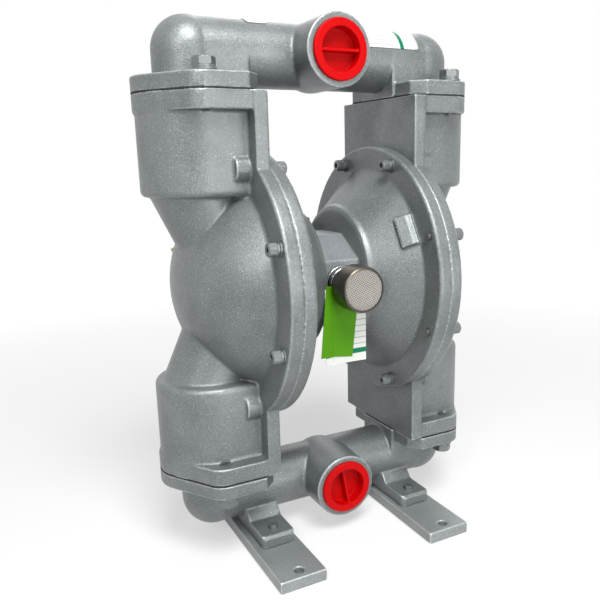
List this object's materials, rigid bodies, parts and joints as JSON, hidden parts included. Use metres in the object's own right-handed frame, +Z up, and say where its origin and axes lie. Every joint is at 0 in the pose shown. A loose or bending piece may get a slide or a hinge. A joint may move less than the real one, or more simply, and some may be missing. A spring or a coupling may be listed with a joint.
{
  "type": "air operated diaphragm pump",
  "caption": "Metal air operated diaphragm pump on foot bars, with flanged inlet and outlet manifolds, disc chambers, plugged ports and a front exhaust muffler.",
  "frame": {"origin": "on the ground under the feet, in the middle between the two chambers and in the middle of the feet's length", "axes": "+X through both diaphragms towards the right chamber seen from the ports, -Y the way the ports face, +Z up"},
  "size_m": [0.386, 0.288, 0.563],
  "materials": {
    "cast_aluminium": "blasted casting with a fine even grain and bright worn edges",
    "center_casting": "blasted casting, slightly darker than the caps",
    "machined_aluminium": "machined block with a satin finish",
    "plate_aluminium": "turned",
    "foot_steel": "plain steel bar with bright edges",
    "zinc_steel": "zinc plated fasteners",
    "rod_chrome": "hard chromed and ground",
    "muffler_chrome": "polished plated rings",
    "muffler_steel": "formed stainless sheet with a warm tint",
    "muffler_wire": "woven stainless wire cloth",
    "felt": "sintered fibre core",
    "bush_bronze": "bearing bronze",
    "black_rubber": "moulded, matte",
    "gasket": "flat gasket sheet",
    "seat_plastic": "moulded polypropylene, natural",
    "red_plastic": "moulded cap, slightly glossy",
    "white_card": "coated card",
    "green_card": "coated card, lime green",
    "earth_sleeve": "yellow and green sleeve"
  },
  "bodies": {
    "pump": {"fluid_cap_left": "cast_aluminium", "fluid_cap_right": "cast_aluminium", "air_cap_left": "cast_aluminium", "air_cap_right": "cast_aluminium", "outlet_manifold": "cast_aluminium", "inlet_manifold": "cast_aluminium", "center_body": "center_casting", "valve_block": "machined_aluminium", "valve_end_cap_left": "machined_aluminium", "valve_end_cap_right": "machined_aluminium", "foot_left": "foot_steel", "foot_right": "foot_steel", "body_screws": "zinc_steel", "valve_bolts": "zinc_steel", "end_cap_screws": "zinc_steel", "manifold_bolts": "zinc_steel", "manifold_washers": "zinc_steel", "foot_bolts": "zinc_steel", "fluid_side_screws": "zinc_steel", "air_side_screws": "zinc_steel", "disc_washers": "zinc_steel", "disc_spring_washers": "zinc_steel", "earth_terminal": "zinc_steel", "muffler_fitting": "muffler_chrome", "muffler_cap": "muffler_steel", "muffler_mesh": "muffler_wire", "muffler_core": "felt", "rod_bushes": "bush_bronze", "pilot_bushes": "bush_bronze", "valve_sleeve": "bush_bronze", "diaphragm_left": "black_rubber", "diaphragm_right": "black_rubber", "rod_seals": "black_rubber", "seat_seals": "black_rubber", "body_gaskets": "gasket", "flange_gaskets": "gasket", "valve_gasket": "gasket", "valve_seats": "seat_plastic", "outlet_cage_left": "seat_plastic", "outlet_cage_right": "seat_plastic", "inlet_cage_left": "seat_plastic", "inlet_cage_right": "seat_plastic", "white_card": "white_card", "green_card": "green_card", "earth_sleeve": "earth_sleeve"},
    "shaft": {"connecting_rod": "rod_chrome", "inner_plate_left": "plate_aluminium", "inner_plate_right": "plate_aluminium", "outer_plate_left": "plate_aluminium", "outer_plate_right": "plate_aluminium", "plate_screws": "zinc_steel"},
    "pilot": {"pilot_rod": "rod_chrome"},
    "spool": {"valve_spool": "rod_chrome"},
    "outlet_ball_left": {"outlet_ball_left": "black_rubber"},
    "outlet_ball_right": {"outlet_ball_right": "black_rubber"},
    "inlet_ball_left": {"inlet_ball_left": "black_rubber"},
    "inlet_ball_right": {"inlet_ball_right": "black_rubber"},
    "outlet_plug": {"outlet_plug": "red_plastic"},
    "inlet_plug": {"inlet_plug": "red_plastic"}
  },
  "joints": [
    {"name": "shaft_slide", "type": "slide", "parent": "pump", "child": "shaft", "axis": [1, 0, 0], "range_m": [-0.018, 0.018], "deforming": ["diaphragm_left", "diaphragm_right"]},
    {"name": "pilot_slide", "type": "slide", "parent": "pump", "child": "pilot", "axis": [1, 0, 0], "range_m": [-0.004, 0.004]},
    {"name": "spool_slide", "type": "slide", "parent": "pump", "child": "spool", "axis": [1, 0, 0], "range_m": [-0.006, 0.006]},
    {"name": "outlet_ball_left_lift", "type": "slide", "parent": "pump", "child": "outlet_ball_left", "axis": [0, 0, 1], "range_m": [0, 0.0135]},
    {"name": "outlet_ball_right_lift", "type": "slide", "parent": "pump", "child": "outlet_ball_right", "axis": [0, 0, 1], "range_m": [0, 0.0135]},
    {"name": "inlet_ball_left_lift", "type": "slide", "parent": "pump", "child": "inlet_ball_left", "axis": [0, 0, 1], "range_m": [0, 0.0135]},
    {"name": "inlet_ball_right_lift", "type": "slide", "parent": "pump", "child": "inlet_ball_right", "axis": [0, 0, 1], "range_m": [0, 0.0135]},
    {"name": "outlet_plug_pull", "type": "slide", "parent": "pump", "child": "outlet_plug", "axis": [0, -1, 0], "range_m": [0, 0.1]},
    {"name": "inlet_plug_pull", "type": "slide", "parent": "pump", "child": "inlet_plug", "axis": [0, -1, 0], "range_m": [0, 0.1]}
  ],
  "couplings": [
    {"joint": "pilot_slide", "follows": "shaft_slide", "ratio": 0.22222},
    {"joint": "spool_slide", "follows": "shaft_slide", "ratio": 0.33333}
  ]
}
